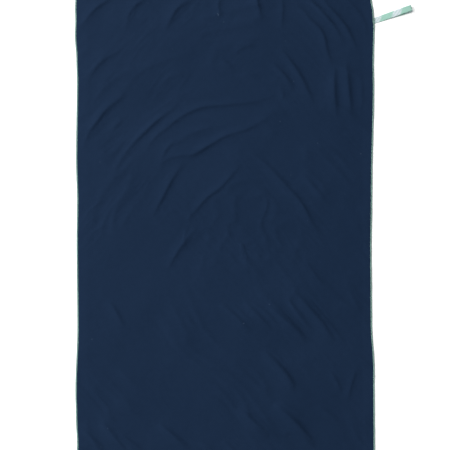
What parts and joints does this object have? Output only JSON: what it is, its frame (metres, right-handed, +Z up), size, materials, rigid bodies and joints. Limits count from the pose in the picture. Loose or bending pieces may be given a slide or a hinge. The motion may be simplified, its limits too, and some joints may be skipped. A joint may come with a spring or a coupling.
{
  "type": "quick dry towel",
  "caption": "Thin suede-microfibre travel towel laid flat, with an overlocked edge, a tape hanging loop on one long side and a folded care label.",
  "frame": {"origin": "middle of the cloth's flat underside", "axes": "+Z up out of the laid towel, +Y along its length towards the head end, +X towards the long side that carries the hanging loop"},
  "size_m": [1.1339, 1.841, 0.0096],
  "materials": {
    "microfibre_cloth": "matt navy suede microfibre with a short nap",
    "edging_thread": "pale mint overlocking thread",
    "loop_tape": "woven tape in pale mint and pale lilac",
    "label_ribbon": "blank white satin ribbon"
  },
  "bodies": {
    "towel": {"towel_cloth": "microfibre_cloth", "edging_upper_looper_thread": "edging_thread", "edging_lower_looper_thread": "edging_thread", "edging_needle_thread": "edging_thread", "loop_tape_sewn_ends": "loop_tape", "loop_bar_tack": "edging_thread", "care_label_sewn_ends": "label_ribbon"},
    "loop": {"hanging_loop": "loop_tape"},
    "label": {"care_label_flap": "label_ribbon"}
  },
  "joints": [
    {"name": "loop_swing", "type": "hinge", "parent": "towel", "child": "loop", "pos_m": [0.506, 0.691, 0.00135], "axis": [0, -1, 0], "range_deg": [0, 165]},
    {"name": "label_swing", "type": "hinge", "parent": "towel", "child": "label", "pos_m": [-0.4, -0.906, 0.00135], "axis": [-1, 0, 0], "range_deg": [0, 165]}
  ]
}
